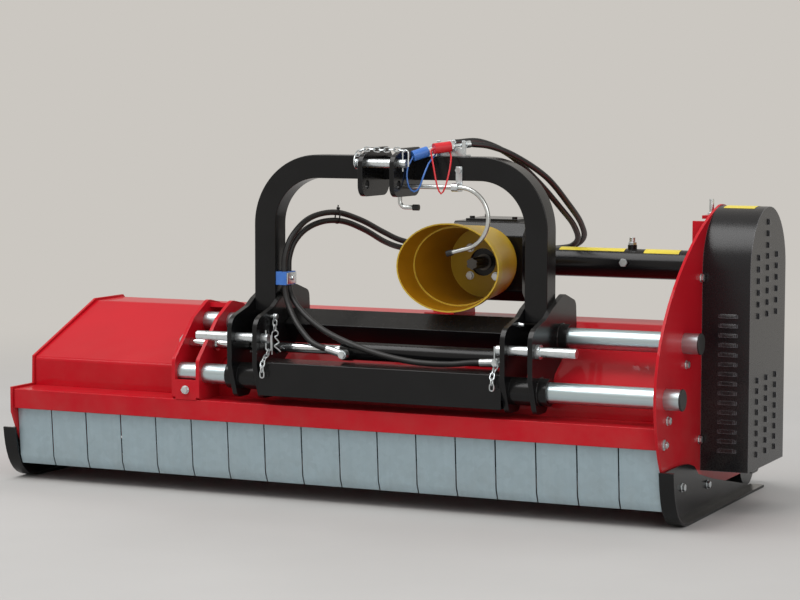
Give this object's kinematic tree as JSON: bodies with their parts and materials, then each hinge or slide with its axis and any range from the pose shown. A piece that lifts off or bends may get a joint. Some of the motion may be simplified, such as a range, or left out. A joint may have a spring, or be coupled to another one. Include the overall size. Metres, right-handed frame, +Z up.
{
  "type": "flail mower",
  "caption": "Tractor-mounted flail mower with red hood, galvanised front flaps, black side-shift hitch arch, yellow shaft guard and dark louvred belt guard",
  "frame": {"origin": "middle of the outline's footprint, on the ground under the skids", "axes": "+X along the machine toward the belt guard, +Y to the rear roller, +Z up; the tractor stands on the -Y side"},
  "size_m": [2.33, 1.0279, 1.0882],
  "materials": {
    "red_paint": "gloss baked enamel on sheet steel",
    "black_paint": "satin black enamel on welded steel",
    "guard_coating": "charcoal powder coat with a fine grain",
    "rail_zinc": "turned bar, bright zinc with slide marks",
    "zinc": "bright zinc plate",
    "galvanised": "dull blue-grey galvanised sheet",
    "rod_chrome": "ground and hard chromed",
    "bare_steel": "machined steel",
    "cast_iron": "raw sand casting",
    "yellow_plastic": "moulded polyethylene",
    "black_rubber": "dull moulded rubber",
    "black_plastic": "moulded end cap",
    "blue_plastic": "moulded polymer",
    "red_plastic": "moulded polymer"
  },
  "bodies": {
    "chassis": {"rotor_hood": "red_paint", "front_beam": "red_paint", "left_side_plate": "red_paint", "right_side_plate": "red_paint", "skids": "black_paint", "guide_rails": "rail_zinc", "rail_caps": "black_plastic", "rail_bracket": "red_paint", "gearbox": "black_paint", "drive_tube": "black_paint", "pto_guard": "yellow_plastic", "belt_guard": "guard_coating", "v_belts": "black_rubber", "rotor_bearings": "cast_iron", "flap_rod": "zinc", "roller_brackets": "black_paint", "chassis_fasteners": "zinc", "cylinder_rod": "rod_chrome"},
    "hitch_frame": {"link_plates": "black_paint", "slide_beams": "black_paint", "arch": "black_paint", "top_link_bracket": "black_paint", "hitch_pins": "zinc", "clip_chains": "zinc", "cylinder_barrel": "black_paint", "hose_left": "black_rubber", "hose_right": "black_rubber", "hose_clamp": "blue_plastic", "hose_fittings": "zinc", "coupler_bracket": "zinc", "quick_couplers": "zinc", "red_dust_cap": "red_plastic", "blue_dust_cap": "blue_plastic", "hook_strap": "zinc"},
    "pto_hook": {"pto_hook": "zinc"},
    "rotor": {"rotor": "bare_steel", "driven_pulley": "cast_iron"},
    "hammers_front": {"hammers_front": "bare_steel"},
    "hammers_rear": {"hammers_rear": "bare_steel"},
    "cross_shaft": {"cross_shaft": "bare_steel", "drive_pulley": "cast_iron"},
    "pto_shaft": {"pto_shaft": "bare_steel"},
    "rear_roller": {"rear_roller": "black_paint"},
    "flap_01": {"flap_01": "galvanised"},
    "flap_02": {"flap_02": "galvanised"},
    "flap_03": {"flap_03": "galvanised"},
    "flap_04": {"flap_04": "galvanised"},
    "flap_05": {"flap_05": "galvanised"},
    "flap_06": {"flap_06": "galvanised"},
    "flap_07": {"flap_07": "galvanised"},
    "flap_08": {"flap_08": "galvanised"},
    "flap_09": {"flap_09": "galvanised"},
    "flap_10": {"flap_10": "galvanised"},
    "flap_11": {"flap_11": "galvanised"},
    "flap_12": {"flap_12": "galvanised"},
    "flap_13": {"flap_13": "galvanised"},
    "flap_14": {"flap_14": "galvanised"},
    "flap_15": {"flap_15": "galvanised"},
    "flap_16": {"flap_16": "galvanised"},
    "flap_17": {"flap_17": "galvanised"}
  },
  "joints": [
    {"name": "side_shift", "type": "slide", "parent": "chassis", "child": "hitch_frame", "axis": [1, 0, 0], "range_m": [-0.07, 0.22]},
    {"name": "hook_swing", "type": "hinge", "parent": "hitch_frame", "child": "pto_hook", "pos_m": [0.1525, -0.379, 0.948], "axis": [-1, 0, 0], "range_deg": [0, 45]},
    {"name": "rotor_spin", "type": "hinge", "parent": "chassis", "child": "rotor", "pos_m": [0, 0.072, 0.255], "axis": [1, 0, 0], "continuous": true},
    {"name": "front_hammer_swing", "type": "hinge", "parent": "rotor", "child": "hammers_front", "pos_m": [0, -0.043, 0.255], "axis": [-1, 0, 0], "range_deg": [0, 180]},
    {"name": "rear_hammer_swing", "type": "hinge", "parent": "rotor", "child": "hammers_rear", "pos_m": [0, 0.187, 0.255], "axis": [1, 0, 0], "range_deg": [0, 180]},
    {"name": "cross_shaft_spin", "type": "hinge", "parent": "chassis", "child": "cross_shaft", "pos_m": [0, 0.072, 0.71], "axis": [1, 0, 0], "continuous": true},
    {"name": "pto_spin", "type": "hinge", "parent": "chassis", "child": "pto_shaft", "pos_m": [0.3105, 0.072, 0.71], "axis": [0, 1, 0], "continuous": true},
    {"name": "roller_spin", "type": "hinge", "parent": "chassis", "child": "rear_roller", "pos_m": [0, 0.434, 0.082], "axis": [1, 0, 0], "continuous": true},
    {"name": "flap_01_swing", "type": "hinge", "parent": "chassis", "child": "flap_01", "pos_m": [-1.0545, -0.444, 0.245], "axis": [1, 0, 0], "range_deg": [0, 75]},
    {"name": "flap_02_swing", "type": "hinge", "parent": "chassis", "child": "flap_02", "pos_m": [-0.9295, -0.444, 0.245], "axis": [1, 0, 0], "range_deg": [0, 75]},
    {"name": "flap_03_swing", "type": "hinge", "parent": "chassis", "child": "flap_03", "pos_m": [-0.8045, -0.444, 0.245], "axis": [1, 0, 0], "range_deg": [0, 75]},
    {"name": "flap_04_swing", "type": "hinge", "parent": "chassis", "child": "flap_04", "pos_m": [-0.6795, -0.444, 0.245], "axis": [1, 0, 0], "range_deg": [0, 75]},
    {"name": "flap_05_swing", "type": "hinge", "parent": "chassis", "child": "flap_05", "pos_m": [-0.5545, -0.444, 0.245], "axis": [1, 0, 0], "range_deg": [0, 75]},
    {"name": "flap_06_swing", "type": "hinge", "parent": "chassis", "child": "flap_06", "pos_m": [-0.4295, -0.444, 0.245], "axis": [1, 0, 0], "range_deg": [0, 75]},
    {"name": "flap_07_swing", "type": "hinge", "parent": "chassis", "child": "flap_07", "pos_m": [-0.3045, -0.444, 0.245], "axis": [1, 0, 0], "range_deg": [0, 75]},
    {"name": "flap_08_swing", "type": "hinge", "parent": "chassis", "child": "flap_08", "pos_m": [-0.1795, -0.444, 0.245], "axis": [1, 0, 0], "range_deg": [0, 75]},
    {"name": "flap_09_swing", "type": "hinge", "parent": "chassis", "child": "flap_09", "pos_m": [-0.0545, -0.444, 0.245], "axis": [1, 0, 0], "range_deg": [0, 75]},
    {"name": "flap_10_swing", "type": "hinge", "parent": "chassis", "child": "flap_10", "pos_m": [0.0705, -0.444, 0.245], "axis": [1, 0, 0], "range_deg": [0, 75]},
    {"name": "flap_11_swing", "type": "hinge", "parent": "chassis", "child": "flap_11", "pos_m": [0.1955, -0.444, 0.245], "axis": [1, 0, 0], "range_deg": [0, 75]},
    {"name": "flap_12_swing", "type": "hinge", "parent": "chassis", "child": "flap_12", "pos_m": [0.3205, -0.444, 0.245], "axis": [1, 0, 0], "range_deg": [0, 75]},
    {"name": "flap_13_swing", "type": "hinge", "parent": "chassis", "child": "flap_13", "pos_m": [0.4455, -0.444, 0.245], "axis": [1, 0, 0], "range_deg": [0, 75]},
    {"name": "flap_14_swing", "type": "hinge", "parent": "chassis", "child": "flap_14", "pos_m": [0.5705, -0.444, 0.245], "axis": [1, 0, 0], "range_deg": [0, 75]},
    {"name": "flap_15_swing", "type": "hinge", "parent": "chassis", "child": "flap_15", "pos_m": [0.6955, -0.444, 0.245], "axis": [1, 0, 0], "range_deg": [0, 75]},
    {"name": "flap_16_swing", "type": "hinge", "parent": "chassis", "child": "flap_16", "pos_m": [0.8205, -0.444, 0.245], "axis": [1, 0, 0], "range_deg": [0, 75]},
    {"name": "flap_17_swing", "type": "hinge", "parent": "chassis", "child": "flap_17", "pos_m": [0.9455, -0.444, 0.245], "axis": [1, 0, 0], "range_deg": [0, 75]}
  ],
  "couplings": [
    {"joint": "cross_shaft_spin", "follows": "rotor_spin", "ratio": 0.67391},
    {"joint": "pto_spin", "follows": "rotor_spin", "ratio": 0.22464}
  ]
}
